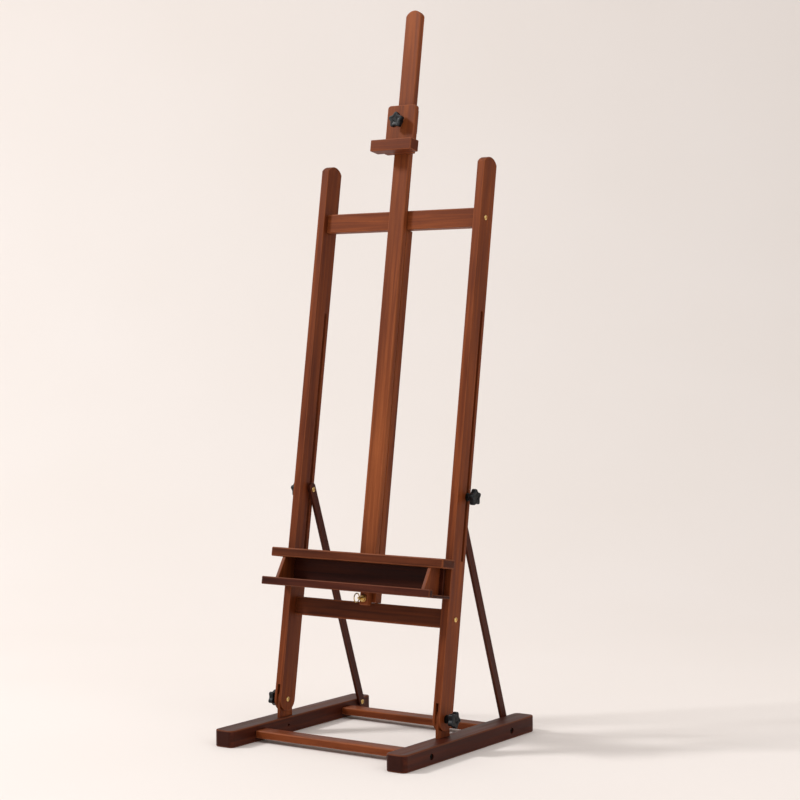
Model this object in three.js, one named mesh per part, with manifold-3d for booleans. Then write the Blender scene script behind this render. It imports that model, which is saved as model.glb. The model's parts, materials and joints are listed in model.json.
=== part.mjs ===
// Studio easel: a four-piece floor base, a frame of two posts that tilts on it, two braces that hold
// the tilt, a mast that slides up the frame with a tray at its foot, and a clamp for the canvas top.
// Millimetres, +Z up, +X to the right of somebody facing the easel, +Y away from them.
import * as THREE from "three";
import { mergeVertices } from "three/addons/utils/BufferGeometryUtils.js";
import Module from "manifold-3d";

const wasm = await Module();
wasm.setup();

// Gaps
const contactGap = 0.3; // between pieces that touch
const runningGap = 0.12; // round a pin that turns or slides in its hole
const boltGap = 0.4; // round a bolt in the wood it is drawn up in

// Base
const baseWidth = 540; // over both runners
const baseLength = 564;
const runnerWidth = 54;
const runnerHeight = 40;
const runnerCorner = 13; // radius of the runners' upright corners
const railDepth = 40;
const railHeight = 18;
const railLift = 10; // from the floor to the rails' undersides
const railOffset = 174; // from the middle of the base to the middle of each rail
const railBoltHead = 7; // radius
const railBoltShank = 3;
const railBoltSink = 6; // depth of the recess that hides the head
const railBoltGrip = 35; // length of the bolt inside the rail

// Tilting frame. Heights in it are measured along the posts from the tilt pivot, and depths are
// measured square to the posts from their middle, towards the back.
const pivotForward = 64.5; // from the middle of the base
const pivotHeight = 82;
const lean = THREE.MathUtils.degToRad(8.9);
const postClear = 2; // from the runner's inner side to the post
const postWidth = 20;
const postDepth = 56;
const postLength = 1317; // from the pivot to the top
const postCrown = 15; // rise of the rounded top
const tongueThickness = 7;
const tongueDepth = 50;
const tongueTenon = 24; // depth of the tongue's root in the runner
const forkDepth = 35; // from the pivot to the top of the fork's slot
const slotWidth = 9.4;
const slotSetback = 14; // from the middle of the post's depth
const slotBottom = 360;
const slotTopClear = 220; // from the slot's top to the middle of the upper crossbar
const upperCrossbarDrop = 146.5; // from the posts' tops to the middle of the upper crossbar
const upperCrossbarHeight = 46;
const upperCrossbarFront = -15;
const upperCrossbarThickness = 24;
const lowerCrossbarMiddle = 226.5;
const lowerCrossbarHeight = 44;
const lowerCrossbarFront = -3;
const lowerCrossbarThickness = 20;
const crossbarBoltShank = 3;
const crossbarBoltHead = 6;
const crossbarBoltGrip = 40; // length of the bolt inside the crossbar
const centreRailWidth = 46;
const centreRailThickness = 24;
const railScrewRadius = 2.5;
const railScrewHead = 4.7; // radius
const railScrewHeadHeight = 2;
const railScrewSink = 4; // depth of the recesses that hide the lower heads
const railScrewGrip = 34; // length of the screw inside the centre rail
const lowerRailScrews = 15; // from the middle to each lower screw, clear of the plunger

// Groove and stop holes of the centre rail
const grooveNeckWidth = 12;
const grooveNeckDepth = 6;
const grooveHeadWidth = 20;
const grooveHeadDepth = 5;
const stopHoles = 12;
const stopSpacing = 50;

// Clamping bolts and star knobs
const clampBoltRadius = 2.9;
const boltHeadRadius = 6;
const boltHeadHeight = 2.6;
const washerRadius = 10;
const washerThickness = 1.6;
const spacerThickness = 1.4;
const knobRadius = 20;
const knobLobes = 5;
const knobLobeDepth = 4.6;
const knobThickness = 13;
const knobEdge = 2;
const knobHubRadius = 8.5;
const pivotKnobHub = 13;
const braceKnobHub = 12;
const knobBoltEngagement = 11; // length of the bolt inside the knob

// Braces
const braceThickness = 8;
const braceWidth = 21;
const braceOverrun = 17; // from the top bolt to the brace's end
const braceBoltHeight = 511; // of the top bolt, along the post
const braceFootBack = 232; // from the middle of the base to the foot bolt
const braceFootHeight = 31;
const braceFootGrip = 30; // length of the foot bolt inside the runner

// Mast
const mastWidth = 45;
const mastThickness = 18;
const mastBottom = 241.5;
const mastTailWidth = 24; // of the short tail below the tray that carries the plunger
const mastRise = 375; // from the posts' tops to the mast's top
const mastCrown = 15;
const dadoDepth = 3; // of the shallow channel for the mast in the upper crossbar
const shoeLength = 40;
const lowerShoeLift = 28; // from the mast's bottom to the lower shoe
const upperShoeLift = 304;

// Tray
const ledgeWidth = 494;
const ledgeDepth = 51;
const ledgeHeight = 22;
const ledgeLift = 99; // from the mast's bottom to the ledge's underside
const trayWidth = 482;
const trayDepth = 87;
const trayFloor = 8;
const trayFloorLift = 30; // from the mast's bottom to the tray's underside
const lipThickness = 13;
const lipHeight = 19;
const trayBackThickness = 8;
const trayEndThickness = 9;
const trayEndSpan = 428; // over both end plates
const trayBackOverrun = 10; // of the tray's back board past the end plates
const trayEndTopDepth = 47;

// Stop plunger
const plungerLift = 16; // from the mast's bottom to the plunger
const plungerPinRadius = 3;
const plungerBarrelRadius = 8.5;
const plungerBarrelLength = 8;
const plungerSleeveRadius = 5.5;
const plungerTipClear = 0.5; // from the drawn pin's tip to the floor of the centre rail's groove
const plungerTail = 13; // of the drawn pin in front of the barrel
const ringRadius = 10.5;
const ringWire = 1.3;
const ringEyeGap = 0.8; // leaves room for the ring's curve inside the pin

// Canvas clamp
const clampWidth = 81;
const clampHeight = 120;
const clampThickness = 16;
const clampCorner = 8;
const clampLift = 136; // from the upper crossbar's top to the clamp's underside
const gripWidth = 118;
const gripDepth = 34;
const gripHeight = 28;
const clampKnobLift = 78; // from the clamp's underside to its knob
const clampKnobHub = 12;
const clampScrewRadius = 3;
const insertRadius = 6;
const padRadius = 8;
const padThickness = 2.5;
const strapHeight = 56;
const strapLift = 50; // from the clamp's underside to the strap
const strapThickness = 2;
const strapFlange = 14; // width of the flange under each screw
const strapScrewRadius = 1.8;
const strapScrewHead = 3.6;
const strapScrewGrip = 11;

const edgeRound = 2.5; // radius of the eased long edges
const roundSegments = 16; // sides of a turned piece
const edgeSegments = 2; // sides of an eased edge
const outlineSegments = 12; // sides of an outline's arcs

// Places that follow from the sizes above
const runnerMiddle = (baseWidth - runnerWidth) / 2;
const runnerInner = baseWidth / 2 - runnerWidth;
const postMiddle = runnerInner + postClear + postWidth / 2;
const postInner = postMiddle - postWidth / 2;
const upperCrossbarMiddle = postLength - upperCrossbarDrop;
const upperCrossbarTop = upperCrossbarMiddle + upperCrossbarHeight / 2;
const lowerCrossbarTop = lowerCrossbarMiddle + lowerCrossbarHeight / 2;
const slotTop = upperCrossbarMiddle - slotTopClear;
const mastBack = upperCrossbarFront + dadoDepth - contactGap;
const mastFront = mastBack - mastThickness;
const mastTop = postLength + mastRise;
const centreRailFront = mastBack + contactGap;
const grooveFloor = centreRailFront + grooveNeckDepth + grooveHeadDepth;
const plungerHeight = mastBottom + plungerLift;
const trayBack = mastFront - contactGap;
const trayFloorTop = mastBottom + trayFloorLift + trayFloor;
const ledgeUnderside = mastBottom + ledgeLift;
const clampUnderside = upperCrossbarTop + clampLift;
const clampBack = mastFront - contactGap;
const clampFront = clampBack - clampThickness;
const strapUnderside = clampUnderside + strapLift;

// Brace line: from its foot bolt on the runner to its top bolt in the post's slot.
const braceBoltBack =
  -pivotForward + braceBoltHeight * Math.sin(lean) + slotSetback * Math.cos(lean);
const braceBoltRise =
  pivotHeight + braceBoltHeight * Math.cos(lean) - slotSetback * Math.sin(lean);
const braceSpan = Math.hypot(braceFootBack - braceBoltBack, braceBoltRise - braceFootHeight);
const braceLean = Math.atan2(braceFootBack - braceBoltBack, braceBoltRise - braceFootHeight);
const braceMiddle = runnerInner - contactGap - braceThickness / 2;

const stainedBeech = { color: 0x76391f, roughness: 0.45, metalness: 0 };
const brass = { color: 0xb08d4a, roughness: 0.35, metalness: 1 };
const steel = { color: 0x8f9093, roughness: 0.4, metalness: 1 };
const blackPlastic = { color: 0x141414, roughness: 0.5, metalness: 0 };

const xAxis = new THREE.Vector3(1, 0, 0);
const yAxis = new THREE.Vector3(0, 1, 0);
const zAxis = new THREE.Vector3(0, 0, 1);

// Turns a closed three.js geometry into a solid that can be joined and cut.
function toSolid(geometry) {
  const bare = geometry.index ? geometry.toNonIndexed() : geometry.clone();
  bare.deleteAttribute("normal");
  bare.deleteAttribute("uv");
  const merged = mergeVertices(bare, 1e-4);
  return new wasm.Manifold(
    new wasm.Mesh({
      numProp: 3,
      vertProperties: merged.attributes.position.array,
      triVerts: new Uint32Array(merged.index.array),
    }),
  );
}

function toMesh(name, solid, finish) {
  const { vertProperties, triVerts } = solid.getMesh();
  const geometry = new THREE.BufferGeometry();
  geometry.setAttribute("position", new THREE.BufferAttribute(vertProperties, 3));
  geometry.setIndex(new THREE.BufferAttribute(triVerts, 1));
  geometry.computeVertexNormals();
  const mesh = new THREE.Mesh(geometry, new THREE.MeshStandardMaterial(finish));
  mesh.name = name;
  return mesh;
}

// Extrudes a shape along X, Y or Z between two places. The shape's own axes become Y and Z for an
// extrusion along X, Z and X for one along Y, and X and Y for one along Z.
function prism(shape, axis, from, to, curveSegments = outlineSegments) {
  const geometry = new THREE.ExtrudeGeometry(shape, {
    depth: to - from,
    bevelEnabled: false,
    curveSegments,
  });
  const frames = {
    x: [yAxis, zAxis, xAxis],
    y: [zAxis, xAxis, yAxis],
    z: [xAxis, yAxis, zAxis],
  };
  const basis = new THREE.Matrix4().makeBasis(...frames[axis]);
  geometry.applyMatrix4(basis);
  const start = frames[axis][2].clone().multiplyScalar(from);
  geometry.translate(start.x, start.y, start.z);
  return toSolid(geometry);
}

function roundedRectangle(left, right, bottom, top, radius) {
  const shape = new THREE.Shape();
  shape.moveTo(left + radius, bottom);
  shape.lineTo(right - radius, bottom);
  shape.absarc(right - radius, bottom + radius, radius, -Math.PI / 2, 0);
  shape.lineTo(right, top - radius);
  shape.absarc(right - radius, top - radius, radius, 0, Math.PI / 2);
  shape.lineTo(left + radius, top);
  shape.absarc(left + radius, top - radius, radius, Math.PI / 2, Math.PI);
  shape.lineTo(left, bottom + radius);
  shape.absarc(left + radius, bottom + radius, radius, Math.PI, Math.PI * 1.5);
  return shape;
}

function polygon(points) {
  return new THREE.Shape(points.map(([u, v]) => new THREE.Vector2(u, v)));
}

function block(x, y, z) {
  const geometry = new THREE.BoxGeometry(x[1] - x[0], y[1] - y[0], z[1] - z[0]);
  geometry.translate((x[0] + x[1]) / 2, (y[0] + y[1]) / 2, (z[0] + z[1]) / 2);
  return toSolid(geometry);
}

// A board along X, Y or Z whose four long edges are eased.
function board(axis, x, y, z) {
  const sides = { x: [y, z, x], y: [z, x, y], z: [x, y, z] };
  const [u, v, length] = sides[axis];
  const section = roundedRectangle(u[0], u[1], v[0], v[1], edgeRound);
  return prism(section, axis, length[0], length[1], edgeSegments);
}

// A turned piece on an axis through the point: profile pairs are radius and distance along the axis.
function turned(profile, direction, point = new THREE.Vector3()) {
  const outline = profile.map(([radius, along]) => new THREE.Vector2(radius, along));
  const geometry = new THREE.LatheGeometry(outline, roundSegments);
  const turn = new THREE.Quaternion().setFromUnitVectors(yAxis, direction);
  geometry.applyQuaternion(turn);
  geometry.translate(point.x, point.y, point.z);
  return toSolid(geometry);
}

function rod(radius, from, to, direction, point) {
  const profile = [
    [0, from],
    [radius, from],
    [radius, to],
    [0, to],
  ];
  return turned(profile, direction, point);
}

// A drilled hole's cutter. Its flats, not its corners, keep the gap, so a round pin turns in it.
function drill(radius, gap, from, to, direction, point) {
  const corner = (radius + gap) / Math.cos(Math.PI / roundSegments);
  return rod(corner, from, to, direction, point);
}

// Domed head from its seat at 0 outwards to minus its height, with a shank to the given length.
function domedBolt(headRadius, headHeight, shankRadius, length, direction) {
  const profile = [
    [0, -headHeight],
    [headRadius * 0.55, -headHeight * 0.82],
    [headRadius * 0.88, -headHeight * 0.45],
    [headRadius, 0],
    [shankRadius, 0],
    [shankRadius, length],
    [0, length],
  ];
  return turned(profile, direction);
}

function cheeseBolt(headRadius, headHeight, shankRadius, length, direction) {
  const profile = [
    [0, -headHeight],
    [headRadius, -headHeight],
    [headRadius, 0],
    [shankRadius, 0],
    [shankRadius, length],
    [0, length],
  ];
  return turned(profile, direction);
}

function washer(innerRadius, outerRadius, thickness, direction) {
  const ring = rod(outerRadius, 0, thickness, direction);
  return ring.subtract(drill(innerRadius, runningGap, -1, thickness + 1, direction));
}

// Star knob with its hub's face at 0 and its head outwards along the direction.
function starKnob(hubLength, boreRadius, boreDepth, direction) {
  const steps = knobLobes * 8;
  const outline = [];
  for (let step = 0; step < steps; step++) {
    const angle = (step / steps) * Math.PI * 2;
    const dip = (knobLobeDepth * (1 - Math.cos(knobLobes * angle))) / 2;
    const radius = knobRadius - dip;
    outline.push([radius * Math.sin(angle), radius * Math.cos(angle)]);
  }
  const head = new THREE.ExtrudeGeometry(polygon(outline.reverse()), {
    depth: knobThickness - 2 * knobEdge,
    bevelThickness: knobEdge,
    bevelSize: knobEdge,
    bevelOffset: -knobEdge,
    bevelSegments: 1,
  });
  head.translate(0, 0, hubLength + knobEdge);
  const turn = new THREE.Quaternion().setFromUnitVectors(zAxis, direction);
  head.applyQuaternion(turn);
  const overlap = 2;
  return toSolid(head)
    .add(rod(knobHubRadius, 0, hubLength + overlap, direction))
    .subtract(drill(boreRadius, runningGap, -1, boreDepth, direction));
}

// Base ---------------------------------------------------------------------------------------

function runner(side) {
  const halfWidth = runnerWidth / 2;
  const halfLength = baseLength / 2;
  const plan = roundedRectangle(-halfWidth, halfWidth, -halfLength, halfLength, runnerCorner);
  let solid = prism(plan, "z", 0, runnerHeight);
  const inward = new THREE.Vector3(-side, 0, 0);
  const outerFace = side * halfWidth;
  for (const end of [-1, 1]) {
    const middle = new THREE.Vector3(outerFace, end * railOffset, railLift + railHeight / 2);
    solid = solid.subtract(drill(railBoltHead, boltGap, -1, railBoltSink, inward, middle));
    solid = solid.subtract(
      drill(railBoltShank, boltGap, -1, runnerWidth + 1, inward, middle),
    );
  }
  const tongueX = side * (postMiddle - runnerMiddle);
  const mortiseWidth = tongueThickness / 2 + contactGap;
  const mortiseDepth = tongueDepth / 2 + contactGap;
  solid = solid.subtract(
    block(
      [tongueX - mortiseWidth, tongueX + mortiseWidth],
      [-pivotForward - mortiseDepth, -pivotForward + mortiseDepth],
      [runnerHeight - tongueTenon - contactGap, runnerHeight + 1],
    ),
  );
  const footBolt = new THREE.Vector3(-side * halfWidth, braceFootBack, braceFootHeight);
  const outward = new THREE.Vector3(side, 0, 0);
  return solid.subtract(
    drill(clampBoltRadius, boltGap, -1, braceFootGrip + boltGap, outward, footBolt),
  );
}

function floorRail(end) {
  const reach = runnerInner - contactGap;
  const middle = end * railOffset;
  let solid = board(
    "x",
    [-reach, reach],
    [middle - railDepth / 2, middle + railDepth / 2],
    [railLift, railLift + railHeight],
  );
  for (const side of [-1, 1]) {
    const mouth = new THREE.Vector3(side * reach, middle, railLift + railHeight / 2);
    const inward = new THREE.Vector3(-side, 0, 0);
    solid = solid.subtract(
      drill(railBoltShank, boltGap, -1, railBoltGrip + boltGap, inward, mouth),
    );
  }
  return solid;
}

function railBolt(side) {
  const headHeight = 3;
  const length = runnerWidth - railBoltSink + railBoltGrip;
  const inward = new THREE.Vector3(-side, 0, 0);
  return cheeseBolt(railBoltHead - 1, headHeight, railBoltShank, length, inward);
}

// The tongue stands in the runner, and its rounded head carries the post's fork.
function tongue() {
  const half = tongueDepth / 2;
  const root = runnerHeight - tongueTenon - pivotHeight;
  const shape = new THREE.Shape();
  shape.moveTo(-half, root);
  shape.lineTo(half, root);
  shape.lineTo(half, 0);
  shape.absarc(0, 0, half, 0, Math.PI);
  const solid = prism(shape, "x", -tongueThickness / 2, tongueThickness / 2);
  return solid.subtract(
    drill(clampBoltRadius, runningGap, -tongueThickness, tongueThickness, xAxis),
  );
}

function base() {
  const group = new THREE.Group();
  for (const [side, hand] of [
    [-1, "left"],
    [1, "right"],
  ]) {
    const skid = toMesh(`runner_${hand}`, runner(side), stainedBeech);
    skid.position.x = side * runnerMiddle;
    group.add(skid);

    const upright = toMesh(`pivot_tongue_${hand}`, tongue(), stainedBeech);
    upright.position.set(side * postMiddle, -pivotForward, pivotHeight);
    group.add(upright);

    const footBolt = toMesh(`brace_foot_bolt_${hand}`, braceFootBolt(side), brass);
    footBolt.position.set(
      side * (braceMiddle - braceThickness / 2 - contactGap),
      braceFootBack,
      braceFootHeight,
    );
    group.add(footBolt);

    for (const [end, place] of [
      [-1, "front"],
      [1, "rear"],
    ]) {
      const bolt = toMesh(`rail_bolt_${place}_${hand}`, railBolt(side), steel);
      const seat = baseWidth / 2 - railBoltSink + contactGap;
      bolt.position.set(side * seat, end * railOffset, railLift + railHeight / 2);
      group.add(bolt);
    }
  }
  group.add(toMesh("floor_rail_front", floorRail(-1), stainedBeech));
  group.add(toMesh("floor_rail_rear", floorRail(1), stainedBeech));
  return group;
}

// Tilting frame ------------------------------------------------------------------------------

function postOutline() {
  const half = postDepth / 2;
  const crownRadius = (half * half + postCrown * postCrown) / (2 * postCrown);
  const crownAngle = Math.asin(half / crownRadius);
  const shape = new THREE.Shape();
  shape.absarc(0, 0, half, Math.PI, Math.PI * 2);
  shape.lineTo(half, postLength - postCrown);
  shape.absarc(
    0,
    postLength - crownRadius,
    crownRadius,
    Math.PI / 2 - crownAngle,
    Math.PI / 2 + crownAngle,
  );
  return shape;
}

function slotCutter() {
  const half = slotWidth / 2;
  const shape = new THREE.Shape();
  shape.absarc(slotSetback, slotBottom + half, half, Math.PI, Math.PI * 2);
  shape.absarc(slotSetback, slotTop - half, half, 0, Math.PI);
  return prism(shape, "x", -postWidth, postWidth);
}

function crossbarDepth(isUpper) {
  return isUpper
    ? upperCrossbarFront + upperCrossbarThickness / 2
    : lowerCrossbarFront + lowerCrossbarThickness / 2;
}

function crossbarMiddle(isUpper) {
  return isUpper ? upperCrossbarMiddle : lowerCrossbarMiddle;
}

function post(side) {
  let solid = prism(postOutline(), "x", -postWidth / 2, postWidth / 2);
  const forkHalf = tongueThickness / 2 + contactGap;
  solid = solid.subtract(
    block([-forkHalf, forkHalf], [-postDepth, postDepth], [-postDepth, forkDepth]),
  );
  solid = solid.subtract(slotCutter());
  solid = solid.subtract(drill(clampBoltRadius, boltGap, -postWidth, postWidth, xAxis));
  const inward = new THREE.Vector3(-side, 0, 0);
  for (const isUpper of [true, false]) {
    const middle = new THREE.Vector3(0, crossbarDepth(isUpper), crossbarMiddle(isUpper));
    solid = solid.subtract(
      drill(crossbarBoltShank, boltGap, -postWidth, postWidth, inward, middle),
    );
  }
  return solid;
}

function crossbar(isUpper) {
  const reach = postInner - contactGap;
  const front = isUpper ? upperCrossbarFront : lowerCrossbarFront;
  const thickness = isUpper ? upperCrossbarThickness : lowerCrossbarThickness;
  const height = isUpper ? upperCrossbarHeight : lowerCrossbarHeight;
  const middle = crossbarMiddle(isUpper);
  const depth = crossbarDepth(isUpper);
  let solid = board(
    "x",
    [-reach, reach],
    [front, front + thickness],
    [middle - height / 2, middle + height / 2],
  );
  for (const side of [-1, 1]) {
    const inward = new THREE.Vector3(-side, 0, 0);
    const mouth = new THREE.Vector3(side * reach, depth, middle);
    solid = solid.subtract(
      drill(crossbarBoltShank, boltGap, -1, crossbarBoltGrip + boltGap, inward, mouth),
    );
  }
  if (isUpper) {
    const channel = mastWidth / 2 + 1;
    solid = solid.subtract(
      block([-channel, channel], [front - 1, front + dadoDepth], [middle - height, middle + height]),
    );
  }
  for (const x of isUpper ? [0] : [-lowerRailScrews, lowerRailScrews]) {
    const screw = new THREE.Vector3(x, screwDepth(isUpper), middle);
    solid = solid.subtract(drill(railScrewRadius, boltGap, -height, height, zAxis, screw));
    const recess = screwSink(isUpper) - height / 2;
    solid = solid.subtract(drill(railScrewHead, boltGap, -height, recess, zAxis, screw));
  }
  return solid;
}

// Depth of the screw that joins a crossbar to the centre rail, inside both of them.
function screwDepth(isUpper) {
  const barBack = isUpper
    ? upperCrossbarFront + upperCrossbarThickness
    : lowerCrossbarFront + lowerCrossbarThickness;
  const back = Math.min(barBack, centreRailFront + centreRailThickness);
  return (grooveFloor + back) / 2;
}

// The upper head stands on top of its crossbar, and the lower ones are sunk from underneath.
function screwSink(isUpper) {
  return isUpper ? 0 : railScrewSink;
}

function crossbarBolt(side) {
  const inward = new THREE.Vector3(-side, 0, 0);
  const length = postWidth + crossbarBoltGrip;
  return domedBolt(crossbarBoltHead, boltHeadHeight, crossbarBoltShank, length, inward);
}

// The rail between the crossbars guides the mast: its T-shaped groove holds the mast's shoes, and
// the plunger's pin drops into its row of stop holes.
function centreRail() {
  const half = centreRailWidth / 2;
  const bottom = lowerCrossbarTop + contactGap;
  const top = upperCrossbarMiddle - upperCrossbarHeight / 2 - contactGap;
  const neckFloor = centreRailFront + grooveNeckDepth;
  const ends = [bottom - 1, top + 1];
  let solid = board(
    "z",
    [-half, half],
    [centreRailFront, centreRailFront + centreRailThickness],
    [bottom, top],
  );
  const neck = grooveNeckWidth / 2;
  const head = grooveHeadWidth / 2;
  solid = solid.subtract(block([-neck, neck], [centreRailFront - 1, neckFloor + 1], ends));
  solid = solid.subtract(block([-head, head], [neckFloor, grooveFloor], ends));
  for (let hole = 0; hole < stopHoles; hole++) {
    const height = plungerHeight + hole * stopSpacing;
    const mouth = new THREE.Vector3(0, centreRailFront, height);
    solid = solid.subtract(
      drill(plungerPinRadius, boltGap, grooveNeckDepth, centreRailThickness + 1, yAxis, mouth),
    );
  }
  const bore = railScrewGrip + boltGap;
  for (const x of [-lowerRailScrews, lowerRailScrews]) {
    const lowerScrew = new THREE.Vector3(x, screwDepth(false), bottom);
    solid = solid.subtract(drill(railScrewRadius, boltGap, -1, bore, zAxis, lowerScrew));
  }
  const upperScrew = new THREE.Vector3(0, screwDepth(true), top);
  return solid.subtract(drill(railScrewRadius, boltGap, -bore, 1, zAxis, upperScrew));
}

function railScrew(isUpper) {
  const direction = new THREE.Vector3(0, 0, isUpper ? -1 : 1);
  const height = isUpper ? upperCrossbarHeight : lowerCrossbarHeight;
  const length = height - screwSink(isUpper) + railScrewGrip;
  return cheeseBolt(railScrewHead, railScrewHeadHeight, railScrewRadius, length, direction);
}

// Bolt at the tilt pivot: its head is on the post's inner side and the knob is outside.
function clampBolt(grip, side) {
  const outward = new THREE.Vector3(side, 0, 0);
  return domedBolt(boltHeadRadius, boltHeadHeight, clampBoltRadius, grip, outward);
}

function pivotHardware(side, hand, group) {
  const face = postMiddle + postWidth / 2;
  const outward = new THREE.Vector3(side, 0, 0);
  const washerSeat = face + contactGap;
  const knobSeat = washerSeat + washerThickness + contactGap;
  const headSeat = postInner - contactGap;
  const grip = knobSeat + knobBoltEngagement - headSeat;

  const bolt = toMesh(`pivot_bolt_${hand}`, clampBolt(grip, side), brass);
  bolt.position.x = side * headSeat;
  group.add(bolt);

  const ring = washer(clampBoltRadius, washerRadius, washerThickness, outward);
  const disc = toMesh(`pivot_washer_${hand}`, ring, steel);
  disc.position.x = side * washerSeat;
  group.add(disc);

  const bore = knobBoltEngagement + 1;
  const star = starKnob(pivotKnobHub, clampBoltRadius, bore, outward);
  const knob = toMesh(`pivot_knob_${hand}`, star, blackPlastic);
  knob.position.x = side * knobSeat;
  group.add(knob);
}

function tiltingFrame() {
  const group = new THREE.Group();
  group.position.set(0, -pivotForward, pivotHeight);
  group.rotation.x = -lean;
  for (const [side, hand] of [
    [-1, "left"],
    [1, "right"],
  ]) {
    const upright = toMesh(`post_${hand}`, post(side), stainedBeech);
    upright.position.x = side * postMiddle;
    group.add(upright);
    pivotHardware(side, hand, group);
    for (const [isUpper, level] of [
      [true, "upper"],
      [false, "lower"],
    ]) {
      const bolt = toMesh(`crossbar_bolt_${level}_${hand}`, crossbarBolt(side), brass);
      const seat = postMiddle + postWidth / 2 + contactGap;
      bolt.position.set(side * seat, crossbarDepth(isUpper), crossbarMiddle(isUpper));
      group.add(bolt);
    }
  }
  group.add(toMesh("crossbar_upper", crossbar(true), stainedBeech));
  group.add(toMesh("crossbar_lower", crossbar(false), stainedBeech));
  group.add(toMesh("centre_rail", centreRail(), stainedBeech));
  const upperScrew = toMesh("rail_screw_upper", railScrew(true), steel);
  upperScrew.position.set(0, screwDepth(true), upperCrossbarTop + contactGap);
  group.add(upperScrew);
  for (const [side, hand] of [
    [-1, "left"],
    [1, "right"],
  ]) {
    const screw = toMesh(`rail_screw_lower_${hand}`, railScrew(false), steel);
    const seat = lowerCrossbarMiddle - lowerCrossbarHeight / 2 + railScrewSink - contactGap;
    screw.position.set(side * lowerRailScrews, screwDepth(false), seat);
    group.add(screw);
  }
  group.add(mastCarriage());
  group.add(canvasClamp());
  return group;
}

// Braces -------------------------------------------------------------------------------------

// Made with its foot bolt at the origin and its top bolt straight above it.
function brace() {
  const half = braceWidth / 2;
  const top = braceSpan + braceOverrun - half;
  const shape = new THREE.Shape();
  shape.absarc(0, 0, half, Math.PI, Math.PI * 2);
  shape.absarc(0, top, half, 0, Math.PI);
  const solid = prism(shape, "x", -braceThickness / 2, braceThickness / 2);
  const through = braceThickness;
  const boltHole = new THREE.Vector3(0, 0, braceSpan);
  return solid
    .subtract(drill(clampBoltRadius, runningGap, -through, through, xAxis))
    .subtract(drill(clampBoltRadius, boltGap, -through, through, xAxis, boltHole));
}

function braceFootBolt(side) {
  const grip = braceThickness + 2 * contactGap + braceFootGrip;
  return clampBolt(grip, side);
}

function braceAssembly(side, hand) {
  const group = new THREE.Group();
  group.position.set(0, braceFootBack, braceFootHeight);
  group.rotation.x = braceLean;
  const outward = new THREE.Vector3(side, 0, 0);
  const face = postMiddle + postWidth / 2;
  const washerSeat = face + contactGap;
  const knobSeat = washerSeat + washerThickness + contactGap;
  const headSeat = braceMiddle - braceThickness / 2 - contactGap;

  const strut = toMesh(`brace_${hand}`, brace(), stainedBeech);
  strut.position.x = side * braceMiddle;
  group.add(strut);

  const grip = knobSeat + knobBoltEngagement - headSeat;
  const bolt = toMesh(`brace_bolt_${hand}`, clampBolt(grip, side), brass);
  bolt.position.set(side * headSeat, 0, braceSpan);
  group.add(bolt);

  const gap = postInner - (braceMiddle + braceThickness / 2);
  const thickness = Math.min(spacerThickness, gap - 2 * contactGap);
  const collar = washer(clampBoltRadius, washerRadius, thickness, outward);
  const spacer = toMesh(`brace_spacer_${hand}`, collar, steel);
  spacer.position.set(side * (postInner - contactGap - thickness), 0, braceSpan);
  group.add(spacer);

  const ring = washer(clampBoltRadius, washerRadius, washerThickness, outward);
  const disc = toMesh(`brace_washer_${hand}`, ring, steel);
  disc.position.set(side * washerSeat, 0, braceSpan);
  group.add(disc);

  const bore = knobBoltEngagement + 1;
  const star = starKnob(braceKnobHub, clampBoltRadius, bore, outward);
  const knob = toMesh(`brace_knob_${hand}`, star, blackPlastic);
  knob.position.set(side * knobSeat, 0, braceSpan);
  group.add(knob);
  return group;
}

// Mast and tray ------------------------------------------------------------------------------

function mast() {
  const half = mastWidth / 2;
  const crownRadius = (half * half + mastCrown * mastCrown) / (2 * mastCrown);
  const crownAngle = Math.asin(half / crownRadius);
  const crownCentre = mastTop - crownRadius;
  const tail = mastTailWidth / 2;
  const shoulder = mastBottom + trayFloorLift;
  const outline = new THREE.Shape();
  outline.moveTo(mastBottom, -tail);
  outline.lineTo(shoulder, -tail);
  outline.lineTo(shoulder, -half);
  outline.lineTo(mastTop - mastCrown, -half);
  outline.absarc(crownCentre, 0, crownRadius, -crownAngle, crownAngle);
  outline.lineTo(shoulder, half);
  outline.lineTo(shoulder, tail);
  outline.lineTo(mastBottom, tail);
  let solid = prism(outline, "y", mastFront, mastBack);
  const plungerMouth = new THREE.Vector3(0, mastFront, plungerHeight);
  solid = solid.subtract(
    drill(plungerSleeveRadius, boltGap, -1, mastThickness + 1, yAxis, plungerMouth),
  );
  return solid;
}

// A T-shaped shoe on the mast's back that runs in the centre rail's groove.
function shoe() {
  const half = shoeLength / 2;
  const slide = contactGap;
  const neck = grooveNeckWidth / 2 - slide;
  const head = grooveHeadWidth / 2 - slide;
  const start = mastBack + contactGap;
  const neckFloor = centreRailFront + grooveNeckDepth + slide;
  const headBack = grooveFloor - slide;
  return block([-neck, neck], [start, neckFloor + 1], [-half, half]).add(
    block([-head, head], [neckFloor, headBack], [-half, half]),
  );
}

function trayLedge() {
  const half = ledgeWidth / 2;
  return board(
    "x",
    [-half, half],
    [trayBack - ledgeDepth, trayBack],
    [ledgeUnderside, ledgeUnderside + ledgeHeight],
  );
}

function trayBackBoard() {
  const half = trayEndSpan / 2 + trayBackOverrun;
  return block(
    [-half, half],
    [trayBack - trayBackThickness, trayBack],
    [trayFloorTop + contactGap, ledgeUnderside - contactGap],
  );
}

function trayFloorBoard() {
  const half = trayWidth / 2;
  const front = trayBack - trayDepth + lipThickness + contactGap;
  return block([-half, half], [front, trayBack], [trayFloorTop - trayFloor, trayFloorTop]);
}

function trayLip() {
  const half = trayWidth / 2;
  const front = trayBack - trayDepth;
  const bottom = trayFloorTop - trayFloor;
  return board("x", [-half, half], [front, front + lipThickness], [bottom, bottom + lipHeight]);
}

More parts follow.
